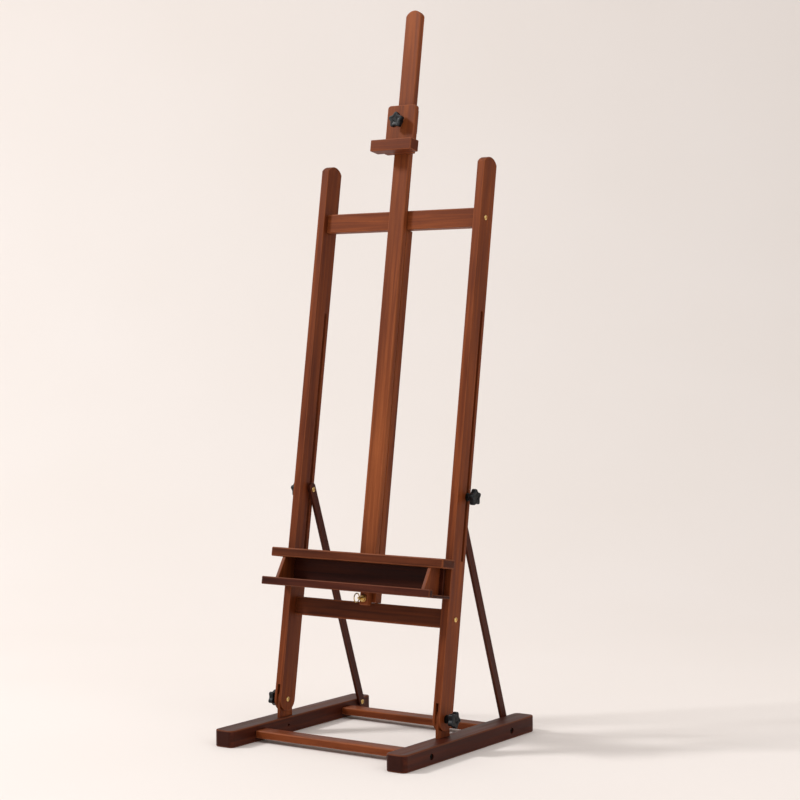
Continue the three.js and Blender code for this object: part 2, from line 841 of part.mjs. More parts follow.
function trayEnd() {
  const bottom = trayFloorTop + contactGap;
  const top = ledgeUnderside - contactGap;
  const lipBack = trayBack - trayDepth + lipThickness + contactGap;
  const rear = trayBack - trayBackThickness - contactGap;
  const outline = polygon([
    [lipBack, bottom],
    [rear, bottom],
    [rear, top],
    [trayBack - trayEndTopDepth, top],
  ]);
  return prism(outline, "x", -trayEndThickness / 2, trayEndThickness / 2);
}

// The barrel is screwed through the mast from the front, and the pin slides in it. The pin is drawn
// forwards, clear of the stop holes, so that the mast is free to slide.
function plungerBarrel() {
  const sleeveEnd = mastThickness - contactGap;
  const barrel = [
    [0, -plungerBarrelLength],
    [plungerBarrelRadius - 2, -plungerBarrelLength],
    [plungerBarrelRadius - 1, -plungerBarrelLength + 1],
    [plungerBarrelRadius - 1, -3],
    [plungerBarrelRadius, -2.5],
    [plungerBarrelRadius, 0],
    [plungerSleeveRadius, 0],
    [plungerSleeveRadius, sleeveEnd],
    [0, sleeveEnd],
  ];
  const length = plungerBarrelLength + 1;
  return turned(barrel, yAxis).subtract(
    drill(plungerPinRadius, runningGap, -length, sleeveEnd + 1, yAxis),
  );
}

function plungerPin() {
  const tip = grooveFloor - plungerTipClear - (mastFront - contactGap);
  const tail = -plungerBarrelLength - plungerTail;
  const profile = [
    [0, tail],
    [plungerPinRadius, tail],
    [plungerPinRadius, tip - 1.5],
    [plungerPinRadius - 1.5, tip],
    [0, tip],
  ];
  const eye = new THREE.Vector3(0, ringEye(), 0);
  const span = plungerPinRadius * 2;
  return turned(profile, yAxis).subtract(drill(ringWire, ringEyeGap, -span, span, zAxis, eye));
}

// Place of the ring's cross hole along the pin, measured from the barrel's seat.
function ringEye() {
  return -plungerBarrelLength - plungerTail + ringWire + ringEyeGap + 1.6;
}

// Made in the YZ plane with the eye at its origin, so that it stands forward of the pin.
function pullRing() {
  const torus = new THREE.TorusGeometry(ringRadius, ringWire, 8, 28);
  torus.rotateY(Math.PI / 2);
  torus.translate(0, -ringRadius, 0);
  return toSolid(torus);
}

function mastCarriage() {
  const group = new THREE.Group();
  group.add(toMesh("mast", mast(), stainedBeech));
  for (const [lift, level] of [
    [lowerShoeLift, "lower"],
    [upperShoeLift, "upper"],
  ]) {
    const middle = mastBottom + lift + shoeLength / 2;
    const runnerShoe = toMesh(`mast_shoe_${level}`, shoe(), stainedBeech);
    runnerShoe.position.z = middle;
    group.add(runnerShoe);
  }
  group.add(toMesh("tray_ledge", trayLedge(), stainedBeech));
  group.add(toMesh("tray_back", trayBackBoard(), stainedBeech));
  group.add(toMesh("tray_floor", trayFloorBoard(), stainedBeech));
  group.add(toMesh("tray_lip", trayLip(), stainedBeech));
  for (const [side, hand] of [
    [-1, "left"],
    [1, "right"],
  ]) {
    const plate = toMesh(`tray_end_${hand}`, trayEnd(), stainedBeech);
    plate.position.x = (side * (trayEndSpan - trayEndThickness)) / 2;
    group.add(plate);
  }
  const seat = mastFront - contactGap;
  const barrel = toMesh("plunger_barrel", plungerBarrel(), brass);
  barrel.position.set(0, seat, plungerHeight);
  group.add(barrel);
  const pin = toMesh("plunger_pin", plungerPin(), brass);
  pin.position.set(0, seat, plungerHeight);
  group.add(pin);
  const ring = toMesh("plunger_ring", pullRing(), brass);
  ring.position.set(0, seat + ringEye(), plungerHeight);
  group.add(ring);
  return group;
}

// Canvas clamp -------------------------------------------------------------------------------

function clampBlock() {
  const half = clampWidth / 2;
  const top = clampUnderside + clampHeight;
  const outline = new THREE.Shape();
  outline.moveTo(clampUnderside, -half);
  outline.lineTo(top - clampCorner, -half);
  outline.absarc(top - clampCorner, -half + clampCorner, clampCorner, -Math.PI / 2, 0);
  outline.lineTo(top, half - clampCorner);
  outline.absarc(top - clampCorner, half - clampCorner, clampCorner, 0, Math.PI / 2);
  outline.lineTo(clampUnderside, half);
  let solid = prism(outline, "y", clampFront, clampBack);
  const knob = new THREE.Vector3(0, clampBack, clampUnderside + clampKnobLift);
  const through = clampThickness + 1;
  solid = solid.subtract(drill(insertRadius, contactGap, -through, 1, yAxis, knob));
  solid = solid.subtract(
    drill(padRadius, contactGap, -padThickness - 2 * contactGap, 1, yAxis, knob),
  );
  for (const [, x, z] of strapScrewPlaces()) {
    const mouth = new THREE.Vector3(x, clampBack, z);
    solid = solid.subtract(drill(strapScrewRadius, boltGap, -strapScrewGrip, 1, yAxis, mouth));
  }
  return solid;
}

// The bar that holds the canvas's top edge down.
function clampGrip() {
  const half = gripWidth / 2;
  const back = clampFront - contactGap;
  return board(
    "x",
    [-half, half],
    [back - gripDepth, back],
    [clampUnderside, clampUnderside + gripHeight],
  );
}

function strapScrewPlaces() {
  const x = mastWidth / 2 + strapThickness + 2 * contactGap + strapFlange / 2;
  const middle = strapUnderside + strapHeight / 2;
  return [
    ["left", -x, middle],
    ["right", x, middle],
  ];
}

// A bent steel strap round the mast's back, with a flange on each side against the block.
function clampStrap() {
  const inside = mastWidth / 2 + 2 * contactGap;
  const outside = inside + strapThickness;
  const flange = outside + strapFlange;
  const seat = clampBack + contactGap;
  const back = mastBack + contactGap;
  const outline = polygon([
    [-flange, seat],
    [-inside, seat],
    [-inside, back],
    [inside, back],
    [inside, seat],
    [flange, seat],
    [flange, seat + strapThickness],
    [outside, seat + strapThickness],
    [outside, back + strapThickness],
    [-outside, back + strapThickness],
    [-outside, seat + strapThickness],
    [-flange, seat + strapThickness],
  ]);
  let solid = prism(outline, "z", strapUnderside, strapUnderside + strapHeight);
  for (const [, x, z] of strapScrewPlaces()) {
    const mouth = new THREE.Vector3(x, seat, z);
    solid = solid.subtract(drill(strapScrewRadius, boltGap, -1, strapThickness + 1, yAxis, mouth));
  }
  return solid;
}

function strapScrew() {
  const forward = new THREE.Vector3(0, -1, 0);
  const length = strapThickness + strapScrewGrip - 1;
  return cheeseBolt(strapScrewHead, 1.6, strapScrewRadius, length, forward);
}

function threadedInsert() {
  const length = clampThickness - padThickness - 4 * contactGap;
  const solid = rod(insertRadius, 0, length, yAxis);
  return solid.subtract(drill(clampScrewRadius, runningGap, -1, length + 1, yAxis));
}

// The knob, its screw and the pad on the screw's end, as one turning piece and one pad.
function clampKnob() {
  const forward = new THREE.Vector3(0, -1, 0);
  const screwLength = clampThickness + contactGap - padThickness - 2 * contactGap;
  const star = starKnob(clampKnobHub, clampScrewRadius, 0, forward);
  return star.add(rod(clampScrewRadius, -screwLength, knobEdge, forward));
}

function canvasClamp() {
  const group = new THREE.Group();
  const knobHeight = clampUnderside + clampKnobLift;
  group.add(toMesh("clamp_block", clampBlock(), stainedBeech));
  group.add(toMesh("clamp_grip", clampGrip(), stainedBeech));
  group.add(toMesh("clamp_strap", clampStrap(), steel));
  const insert = toMesh("clamp_insert", threadedInsert(), brass);
  insert.position.set(0, clampFront + contactGap, knobHeight);
  group.add(insert);
  const pad = toMesh("clamp_pad", rod(padRadius, 0, padThickness, yAxis), blackPlastic);
  pad.position.set(0, clampBack - padThickness, knobHeight);
  group.add(pad);
  const knob = toMesh("clamp_knob", clampKnob(), blackPlastic);
  knob.position.set(0, clampFront - contactGap, knobHeight);
  group.add(knob);
  for (const [hand, x, z] of strapScrewPlaces()) {
    const screw = toMesh(`strap_screw_${hand}`, strapScrew(), steel);
    screw.position.set(x, clampBack + strapThickness + 2 * contactGap, z);
    group.add(screw);
  }
  return group;
}

const easel = new THREE.Group();
easel.add(base());
easel.add(tiltingFrame());
easel.add(braceAssembly(-1, "left"));
easel.add(braceAssembly(1, "right"));

export default easel;
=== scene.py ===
"""A studio easel in stained beech, with black star knobs and brass fittings.

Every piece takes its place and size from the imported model, whose boards lean about the pivot.
"""

import json
import math

import bmesh
import bpy
from mathutils import Matrix, Vector

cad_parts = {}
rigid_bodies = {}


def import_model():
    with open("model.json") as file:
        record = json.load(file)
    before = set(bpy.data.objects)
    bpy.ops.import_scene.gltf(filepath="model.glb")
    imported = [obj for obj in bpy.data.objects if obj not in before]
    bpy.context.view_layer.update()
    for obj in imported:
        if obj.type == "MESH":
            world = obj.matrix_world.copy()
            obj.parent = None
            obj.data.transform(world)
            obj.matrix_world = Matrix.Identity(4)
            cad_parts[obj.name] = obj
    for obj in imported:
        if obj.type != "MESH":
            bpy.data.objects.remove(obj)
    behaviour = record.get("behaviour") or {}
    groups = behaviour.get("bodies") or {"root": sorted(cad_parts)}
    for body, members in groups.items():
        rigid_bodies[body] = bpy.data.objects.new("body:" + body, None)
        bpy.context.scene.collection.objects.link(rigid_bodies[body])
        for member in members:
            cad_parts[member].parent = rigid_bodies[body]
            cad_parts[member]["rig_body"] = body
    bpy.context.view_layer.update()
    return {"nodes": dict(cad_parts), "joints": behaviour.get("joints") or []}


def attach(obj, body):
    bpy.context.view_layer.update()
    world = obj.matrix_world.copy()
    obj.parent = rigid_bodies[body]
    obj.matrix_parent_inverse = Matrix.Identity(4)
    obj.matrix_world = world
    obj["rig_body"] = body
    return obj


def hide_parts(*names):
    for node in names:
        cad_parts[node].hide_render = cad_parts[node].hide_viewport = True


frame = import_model()
nodes = frame["nodes"]
joints = {joint["name"]: joint for joint in frame["joints"]}

MM = 0.001
X, Y, Z = Vector((1, 0, 0)), Vector((0, 1, 0)), Vector((0, 0, 1))
SIDES = (("left", -1), ("right", 1))

# Sizes that the boards' own boxes don't give
EASE = 3 * MM  # rounding of a board's long edges
THIN_EASE = 1.4 * MM  # the same on thin boards
RIM_EASE = 0.7 * MM  # the broken edge of a hole or slot
RUNNER_CORNER = 13 * MM
CROWN = 15 * MM  # rise of a post's or the mast's rounded top
SLOT_BOTTOM, SLOT_TOP = 360 * MM, 950.5 * MM  # along the post from its pivot
SLOT_WIDTH = 9.4 * MM
FORK_DEPTH = 35 * MM  # top of the fork's gap, along the post from its pivot
FORK_HALF = 3.8 * MM  # half the gap
CLAMP_CORNER = 8 * MM
TAIL_HALF = 12 * MM  # half the width of the mast's tail
HOUSING = 1.2 * MM  # depth to which the tray's upright boards are let into the ledge and floor
MAST_CLEARANCE, MAST_DEPTH_CLEARANCE = 1 * MM, 0.3 * MM  # round the mast in the upper crossbar
LIP_EASE = 2.4 * MM
CLAMP_EASE = 2 * MM

# The centre rail's groove, from its front face, and its row of stop holes
NECK_HALF, NECK_DEPTH = 6 * MM, 8 * MM
HEAD_HALF, HEAD_START, GROOVE_DEPTH = 10 * MM, 6 * MM, 11 * MM
STOP_HOLES, STOP_SPACING, STOP_RADIUS = 12, 50 * MM, 3.4 * MM
STOP_START = 9 * MM  # a hole's drill starts inside the groove

# Holes in the runners: recesses for the rail bolts' heads, and the tongues' pins
BOLT_RECESS, BOLT_RECESS_DEPTH = 7.4 * MM, 6 * MM
TONGUE_PIN, TONGUE_PIN_DEPTH = 3.2 * MM, 7 * MM

# Bolts and screws: radius of the head, its height, and radius of the shank
PIVOT_BOLT = (6 * MM, 2.6 * MM, 2.9 * MM)
CROSSBAR_BOLT = (6 * MM, 2.6 * MM, 3 * MM)
RAIL_BOLT = (6 * MM, 3 * MM, 3 * MM)
RAIL_SCREW = (4.7 * MM, 2 * MM, 2.5 * MM)
STRAP_SCREW = (3.6 * MM, 1.6 * MM, 1.8 * MM)
WASHER_BORE, WASHER_EDGE = 3.05 * MM, 0.35 * MM

# Star knobs
LOBES = 5
LOBE_TIP, LOBE_DIP = 20 * MM, 5.4 * MM  # reach of a lobe, and how far the rim falls back between two
KNOB_HEAD = 13 * MM  # thickness of the lobes
KNOB_EASE = 2.4 * MM
KNOB_CAP, KNOB_DISH_SLOPE, KNOB_DISH = 4.5 * MM, 1.2 * MM, 0.9 * MM  # rim of the cap, and its dish
STEM_EASE, STEM_FOOT, STEM_WAIST, STEM_TOP = 0.8 * MM, 8.2 * MM, 8.0 * MM, 9.6 * MM  # radii
STEM_RISE, HEAD_LAP = 2 * MM, 0.5 * MM  # how far the stem runs up into the lobes, and they down over it
CLAMP_KNOB_HUB = 12 * MM
CLAMP_KNOB_GAP = 0.3 * MM  # left between the hub and the clamp's block, so that it turns

# Plunger: radii, and lengths from its seat outwards
BARREL_BORE, SLEEVE, COLLAR, COLLAR_EASE, NOSE = 3.1 * MM, 5.5 * MM, 8.5 * MM, 0.4 * MM, 7.2 * MM
SLEEVE_LENGTH, COLLAR_LENGTH = 17.7 * MM, 2.5 * MM
PIN, PIN_TIP, PIN_TAPER, PIN_EASE = 3 * MM, 1.8 * MM, 1.6 * MM, 0.8 * MM
EYE_HOLE = 2 * MM
PULL_RING, PULL_WIRE = 10.5 * MM, 1.3 * MM

# Small distances of the modelling itself
SLIVER = 0.02 * MM  # left between two roundings, which mustn't meet
PAST = 2 * MM  # how far a cutter runs past the face that it opens
NEAR = 1e-5  # within this many metres, a corner is on a line
ON_PLANE, ON_SEAM, ON_CUT = 1e-7, 1e-6, 2e-6  # corners this near are one, in a slice, a spin and a cut

# Sockets that Blender tells apart by number only
FROM_LOW, FROM_HIGH, TO_LOW, TO_HIGH = 1, 2, 3, 4  # a Map Range node's
FACTOR, FIRST, SECOND, MIXED = 0, 6, 7, 2  # a Mix node's, when it mixes colours


# ---- Materials ------------------------------------------------------------------------------------


def linear(code):
    """Turns a colour from sRGB hex, by sRGB's own curve, to linear red, green, blue and alpha."""
    parts = [int(code[i : i + 2], 16) / 255 for i in (0, 2, 4)]
    return (*[c / 12.92 if c <= 0.04045 else ((c + 0.055) / 1.055) ** 2.4 for c in parts], 1)


def add(tree, kind, inputs=None, **settings):
    """Adds a node. inputs gives its sockets' values, or the outputs that feed them."""
    made = tree.nodes.new("ShaderNode" + kind)
    for name, value in settings.items():
        setattr(made, name, value)
    for socket, value in (inputs or {}).items():
        if isinstance(value, bpy.types.NodeSocket):
            tree.links.new(value, made.inputs[socket])
        else:
            made.inputs[socket].default_value = value
    return made


def new_material(name):
    """Starts a material: itself, its nodes, and the one shader that the rest feeds."""
    material = bpy.data.materials.new(name)
    material.use_nodes = True
    tree = material.node_tree
    tree.nodes.clear()
    shader = add(tree, "BsdfPrincipled")
    add(tree, "OutputMaterial", {"Surface": shader.outputs[0]})
    return material, tree, shader


def stained_beech(name, grain, light, mid, dark, lift=0.45):
    """Beech, planed, sanded, stained red-brown and given a satin varnish.

    The eye gets long soft streaks, short dark flecks, darker end grain, and eased edges painted lighter
    in patches, a painted highlight. grain is the direction of the board's fibres; light, mid and dark
    are its stain, and lift is how strongly the painted highlight lightens an edge at most.
    """
    material, tree, shader = new_material(name)
    position = add(tree, "TexCoord")
    turn = grain.rotation_difference(Z).to_euler()
    along_z = add(tree, "Mapping", {"Vector": position.outputs["Object"], "Rotation": turn})

    def streaks(across, along, detail, distortion=0.0):
        """Noise with features that many metres wide and long."""
        scale = (1 / across, 1 / across, 1 / along)
        stretched = add(tree, "Mapping", {"Vector": along_z.outputs[0], "Scale": scale})
        noise = {"Vector": stretched.outputs[0], "Scale": 1, "Detail": detail}
        return add(tree, "TexNoise", {**noise, "Distortion": distortion}).outputs[0]

    drift = streaks(60 * MM, 420 * MM, 2, 0.4)  # the board's slow change of tone
    figure = streaks(9 * MM, 230 * MM, 4, 0.8)  # growth rings cut lengthwise
    # Beech flecks are 0.3 by 3 mm; they are drawn about four times that, or they would not show.
    flecks = streaks(1.3 * MM, 13 * MM, 2)

    both = add(tree, "Math", {0: drift, 1: figure}, operation="ADD")
    tone = add(tree, "Math", {0: both.outputs[0], 1: 0.5}, operation="MULTIPLY")
    ramp = add(tree, "ValToRGB", {0: tone.outputs[0]})
    stops = ramp.color_ramp.elements
    stops[0].position, stops[0].color = 0.34, linear(dark)
    stops[1].position, stops[1].color = 0.66, linear(light)
    stops.new(0.5).color = linear(mid)

    # Only the strongest flecks show, and they are a little darker than the wood round them.
    steps = {0: flecks, FROM_LOW: 0.58, FROM_HIGH: 0.72, TO_LOW: 0, TO_HIGH: 0.3}
    fleck_mask = add(tree, "MapRange", steps).outputs[0]
    colours = {FACTOR: fleck_mask, FIRST: ramp.outputs[0], SECOND: linear(dark)}
    flecked = add(tree, "Mix", colours, data_type="RGBA").outputs[MIXED]

    # End grain, which faces along the fibres, drinks more stain.
    vectors = {0: position.outputs["Normal"], 1: grain}
    facing = add(tree, "VectorMath", vectors, operation="DOT_PRODUCT").outputs["Value"]
    end_grain = add(tree, "Math", {0: facing}, operation="ABSOLUTE").outputs[0]
    steps = {0: end_grain, FROM_LOW: 0.75, FROM_HIGH: 0.98, TO_LOW: 0, TO_HIGH: 0.8}
    end_mask = add(tree, "MapRange", steps).outputs[0]
    colours = {FACTOR: end_mask, FIRST: flecked, SECOND: linear(dark)}
    darker_ends = add(tree, "Mix", colours, data_type="RGBA").outputs[MIXED]

    # The eased edges are painted lighter in patches, toward the pale bare wood: a painted highlight.
    edge_highlight = add(tree, "Attribute", attribute_name="painted_edge_highlight").outputs["Fac"]
    patchy = streaks(4 * MM, 40 * MM, 3)
    steps = {0: patchy, FROM_LOW: 0.35, FROM_HIGH: 0.6, TO_LOW: 0.25, TO_HIGH: lift}
    highlight_patches = add(tree, "MapRange", steps).outputs[0]
    lightening = add(tree, "Math", {0: edge_highlight, 1: highlight_patches}, operation="MULTIPLY").outputs[0]
    colours = {FACTOR: lightening, FIRST: darker_ends, SECOND: linear(EDGE_HIGHLIGHT_COLOUR)}
    coloured = add(tree, "Mix", colours, data_type="RGBA").outputs[MIXED]

    steps = {0: figure, FROM_LOW: 0.3, FROM_HIGH: 0.7, TO_LOW: 0.4, TO_HIGH: 0.55}
    gloss = add(tree, "MapRange", steps)
    relief = add(tree, "Math", {0: figure, 1: flecks}, operation="ADD").outputs[0]
    bump = add(tree, "Bump", {"Height": relief, "Strength": 0.22, "Distance": 0.35 * MM})
    tree.links.new(coloured, shader.inputs["Base Color"])
    tree.links.new(gloss.outputs[0], shader.inputs["Roughness"])
    tree.links.new(bump.outputs[0], shader.inputs["Normal"])
    shader.inputs["IOR"].default_value = 1.5
    # A thin rubbed varnish that has sunk into the grain throws back less than a full film would.
    shader.inputs["Specular IOR Level"].default_value = 0.12
    return material


def metal(name, clean, dull, roughness, speck):
    """Turned and plated metal: fine speckle in the gloss, and patches where the surface has dulled."""
    material, tree, shader = new_material(name)
    position = add(tree, "TexCoord").outputs["Object"]
    # Tarnish patches are about 5 mm across, and the polishing marks about half a millimetre.
    patches = add(tree, "TexNoise", {"Vector": position, "Scale": 1 / (5 * MM), "Detail": 4}).outputs[0]
    marks = add(tree, "TexNoise", {"Vector": position, "Scale": 1 / (0.5 * MM), "Detail": 3}).outputs[0]
    mask = add(tree, "MapRange", {0: patches, FROM_LOW: 0.4, FROM_HIGH: 0.68}).outputs[0]
    colours = {FACTOR: mask, FIRST: linear(clean), SECOND: linear(dull)}
    colour = add(tree, "Mix", colours, data_type="RGBA").outputs[MIXED]
    both = add(tree, "Math", {0: patches, 1: marks}, operation="ADD").outputs[0]
    smooth, rough = roughness - 0.08, roughness + 0.12
    steps = {0: both, FROM_LOW: 0.7, FROM_HIGH: 1.3, TO_LOW: smooth, TO_HIGH: rough}
    gloss = add(tree, "MapRange", steps)
    bump = add(tree, "Bump", {"Height": marks, "Strength": speck, "Distance": 0.05 * MM})
    tree.links.new(colour, shader.inputs["Base Color"])
    tree.links.new(gloss.outputs[0], shader.inputs["Roughness"])
    tree.links.new(bump.outputs[0], shader.inputs["Normal"])
    shader.inputs["Metallic"].default_value = 1
    return material


def moulded(name, face, edge, roughness, grit, ior):
    """Moulded plastic or rubber: an even matt grit from the mould, and arrises painted lighter as a
    highlight.
    """
    material, tree, shader = new_material(name)
    position = add(tree, "TexCoord").outputs["Object"]
    # grit is the size of the mould's grains; the skin's cloudy patches are about 12 mm across.
    grains = add(tree, "TexNoise", {"Vector": position, "Scale": 1 / grit, "Detail": 3}).outputs[0]
    cloud = add(tree, "TexNoise", {"Vector": position, "Scale": 1 / (12 * MM), "Detail": 2}).outputs[0]
    # The eased edges are painted lighter, a painted highlight, on top of the skin's cloudy patches.
    edge_highlight = add(tree, "Attribute", attribute_name="painted_edge_highlight").outputs["Fac"]
    shade = add(tree, "Math", {0: cloud, 1: 0.35}, operation="MULTIPLY").outputs[0]
    terms = {0: edge_highlight, 1: 0.5, 2: shade}
    lightening = add(tree, "Math", terms, operation="MULTIPLY_ADD", use_clamp=True).outputs[0]
    colours = {FACTOR: lightening, FIRST: linear(face), SECOND: linear(edge)}
    colour = add(tree, "Mix", colours, data_type="RGBA").outputs[MIXED]
    smooth, rough = roughness - 0.06, roughness + 0.08
    steps = {0: grains, FROM_LOW: 0.3, FROM_HIGH: 0.7, TO_LOW: smooth, TO_HIGH: rough}
    gloss = add(tree, "MapRange", steps)
    bump = add(tree, "Bump", {"Height": grains, "Strength": 0.3, "Distance": 0.08 * MM})
    tree.links.new(colour, shader.inputs["Base Color"])
    tree.links.new(gloss.outputs[0], shader.inputs["Roughness"])
    tree.links.new(bump.outputs[0], shader.inputs["Normal"])
    shader.inputs["IOR"].default_value = ior
    # The mould's fine grit breaks up most of the shine.
    shader.inputs["Specular IOR Level"].default_value = 0.22
    return material


# ---- Axes and measures ----------------------------------------------------------------------------


def axes(origin, up):
    """Axes with Z along up, X level across the easel, and their origin at a point."""
    back = up.cross(X)
    turn = Matrix((X, back, up)).transposed().to_4x4()
    return Matrix.Translation(origin) @ turn


def joint_place(name):
    """A point on a joint's axis."""
    return Vector(joints[name]["pos_m"])


# LEVEL stands upright; LEANING has Z along the posts and BRACE along the braces, with Y to the rear.
LEVEL = Matrix.Identity(4)
UP = Vector(joints["mast_slide"]["axis"]).normalized()
LEANING = axes(joint_place("frame_tilt"), UP)
brace_foot = joint_place("brace_swing_left")
brace_top = joint_place("brace_knob_turn_left")
brace_line = Vector((0, *(brace_top - brace_foot)[1:]))
BRACE = axes(Vector((0, *brace_foot[1:])), brace_line.normalized())


def span(node, frame_axes=LEVEL):
    """Lowest and highest corner of a node, measured along some axes."""
    into = frame_axes.inverted()
    corners = [into @ vertex.co for vertex in nodes[node].data.vertices]
    low = Vector([min(c[i] for c in corners) for i in range(3)])
    high = Vector([max(c[i] for c in corners) for i in range(3)])
    return low, high


# ---- Shaping --------------------------------------------------------------------------------------


def new_work():
    """An empty mesh whose faces can be marked for the painted edge highlight."""
    work = bmesh.new()
    work.faces.layers.float.new("painted_edge_highlight")
    return work


def block(low, high):
    """A square-cornered block between two corners."""
    work = new_work()
    bmesh.ops.create_cube(work, size=1)
    size = high - low
    bmesh.ops.scale(work, vec=size, verts=work.verts)
    bmesh.ops.translate(work, vec=(low + high) / 2, verts=work.verts)
    return work


def ease(work, amount, chosen=None, segments=4, edge_highlight=1.0):
    """Rounds the sharp outside edges, or chosen ones, and marks the new faces for painted highlight."""
    sharp = math.radians(50)
    outside = [e for e in work.edges if len(e.link_faces) == 2 and e.calc_face_angle_signed() > sharp]
    edges = [e for e in outside if chosen is None or chosen(e)]
    made = bmesh.ops.bevel(
        work,
        geom=edges,
        offset=amount,
        segments=segments,
        profile=0.5,
        affect="EDGES",
        material=-1,
        clamp_overlap=True,
    )
    layer = work.faces.layers.float["painted_edge_highlight"]
    for face in made["faces"]:
        face[layer] = edge_highlight
    return work


def runs_along(direction, test=None):
    """A chooser of edges: those parallel to a direction whose middle passes a test."""

    def chosen(edge):
        first, second = (v.co for v in edge.verts)
        line = (second - first).normalized()
        return abs(line.dot(direction)) > 0.999 and (test is None or test((first + second) / 2))

    return chosen


def slice_off(work, point, outward):
    """Saws off what lies outside a plane, and closes the cut."""
    whole = work.verts[:] + work.edges[:] + work.faces[:]
    cut = bmesh.ops.bisect_plane(
        work, geom=whole, dist=ON_PLANE, plane_co=point, plane_no=outward, clear_outer=True
    )
    rim = [e for e in cut["geom_cut"] if isinstance(e, bmesh.types.BMEdge)]
    bmesh.ops.holes_fill(work, edges=rim, sides=0)


def score(work, point, normal):
    """Marks a plane's line across every face, without cutting through."""
    whole = work.verts[:] + work.edges[:] + work.faces[:]
    bmesh.ops.bisect_plane(work, geom=whole, dist=ON_PLANE, plane_co=point, plane_no=normal)


def crown(work, top, half, across, cuts=16):
    """Shapes the top end to an arc across the board, whose half width is given."""
    radius = (half * half + CROWN * CROWN) / (2 * CROWN)
    reach = math.asin(half / radius)
    centre = Z * (top - radius)
    for step in range(cuts):
        angle = reach * (2 * (step + 0.5) / cuts - 1)
        outward = across * math.sin(angle) + Z * math.cos(angle)
        slice_off(work, centre + outward * radius, outward)


def as_object(work, name):
    """Puts the work into the scene, and uses it up."""
    mesh = bpy.data.meshes.new(name)
    work.to_mesh(mesh)
    work.free()
    made = bpy.data.objects.new(name, mesh)
    bpy.context.scene.collection.objects.link(made)
    return made


def cut(work, cutters):
    """Cuts each cutter's shape out of the work, uses them all up, and returns what is left."""
    body = as_object(work, "body")
    tools = [as_object(cutter, "cutter") for cutter in cutters]
    for tool in tools:
        step = body.modifiers.new("cut", "BOOLEAN")
        step.operation, step.solver, step.object = "DIFFERENCE", "EXACT", tool
    graph = bpy.context.evaluated_depsgraph_get()
    result = bpy.data.meshes.new_from_object(body.evaluated_get(graph))
    made = bmesh.new()
    made.from_mesh(result)
    bmesh.ops.remove_doubles(made, verts=made.verts, dist=ON_CUT)
    if "painted_edge_highlight" not in made.faces.layers.float:
        made.faces.layers.float.new("painted_edge_highlight")
    for used in (body, *tools):
        mesh = used.data
        bpy.data.objects.remove(used)
        bpy.data.meshes.remove(mesh)
    bpy.data.meshes.remove(result)
    return made


def rod(radius, start, end, direction, sides=40):
    """A plain cylinder between two distances along a direction from the origin."""
    work = new_work()
    bmesh.ops.create_cone(
        work,
        cap_ends=True,
        segments=sides,
        radius1=radius,
        radius2=radius,
        depth=end - start,
    )
    bmesh.ops.translate(work, vec=Z * (start + end) / 2, verts=work.verts)
    turn = Z.rotation_difference(direction).to_matrix()
    bmesh.ops.rotate(work, matrix=turn, verts=work.verts)
    return work


def moved(work, offset):
    """Moves the work, and returns it."""
    bmesh.ops.translate(work, vec=offset, verts=work.verts)
    return work


def turned(profile, direction, origin, steps=48):
    """Spins a profile of radius and height pairs about a direction through a point."""
    work = new_work()
    line = [work.verts.new((radius, 0, height)) for radius, height in profile]
    for first, second in zip(line, line[1:]):
        work.edges.new((first, second))
    bmesh.ops.spin(
        work,
        geom=work.verts[:] + work.edges[:],
        cent=(0, 0, 0),
        axis=Z,
        angle=2 * math.pi,
        steps=steps,
        use_merge=True,
    )
    bmesh.ops.remove_doubles(work, verts=work.verts, dist=ON_SEAM)
    turn = Z.rotation_difference(direction).to_matrix()
    bmesh.ops.rotate(work, matrix=turn, verts=work.verts)
    bmesh.ops.translate(work, vec=origin, verts=work.verts)
    bmesh.ops.recalc_face_normals(work, faces=work.faces)
    return work


def arc(centre, radius, start, end, count=6):
    """Points of an arc for a profile, by angle in degrees from the radius axis."""
    angles = [math.radians(start + (end - start) * i / count) for i in range(count + 1)]
    return [(centre[0] + radius * math.cos(a), centre[1] + radius * math.sin(a)) for a in angles]


def finish(work, node, material, frame_axes=LEVEL):
    """Makes the work the visible piece that stands for a node, riding on the node's body."""
    bmesh.ops.transform(work, matrix=frame_axes, verts=work.verts)
    bmesh.ops.recalc_face_normals(work, faces=work.faces)
    piece = as_object(work, node + "_finished")
    for face in piece.data.polygons:
        face.use_smooth = True
    piece.data.set_sharp_from_angle(angle=math.radians(48))
    piece.data.materials.append(material)
    weighted = piece.modifiers.new("even_shading", "WEIGHTED_NORMAL")
    weighted.keep_sharp = True
    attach(piece, nodes[node]["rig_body"])
    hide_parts(node)


def board(node, material, frame_axes=LEVEL, amount=EASE, housed=0):
    """A plain board the size of its node, with every edge eased.

    housed is how far its top and bottom are let into the boards above and below it.
    """
    low, high = span(node, frame_axes)
    low, high = low - Z * housed, high + Z * housed
    finish(ease(block(low, high), amount), node, material, frame_axes)


def eased_section(node, material, amount):
    """A fitting shaped as its node is, with its edges broken."""
    work = new_work()
    work.from_mesh(nodes[node].data)
    bmesh.ops.remove_doubles(work, verts=work.verts, dist=NEAR)
    bmesh.ops.dissolve_limit(work, angle_limit=math.radians(1), verts=work.verts, edges=work.edges)
    work.transform(LEANING.inverted())
    ease(work, amount, segments=2)
    finish(work, node, material, LEANING)


# ---- The easel's finishes -------------------------------------------------------------------------

# The stains, each as it looks on light, middling and dark wood: redder and lighter on the mast, and
# deepest on the tray and the base. On the lower crossbar the ledge's stain is painted shade, the tray's
# shadow painted onto the bar. Inside the tray, on its back and floor, the deepest stain is partly
# painted shade, while the lip's dark red is its own.
MAST_STAIN = ("96512a", "7e401f", "642e16")
FRAME_STAIN = ("87441f", "6e3417", "552410")
LEDGE_STAIN_AND_SHADE = ("6c3418", "572710", "401908")
DEEP_STAIN = ("522413", "41190d", "2d0f07")
# The pale wood colour that the eased edges are painted toward: a painted highlight.
EDGE_HIGHLIGHT_COLOUR = "a05c38"

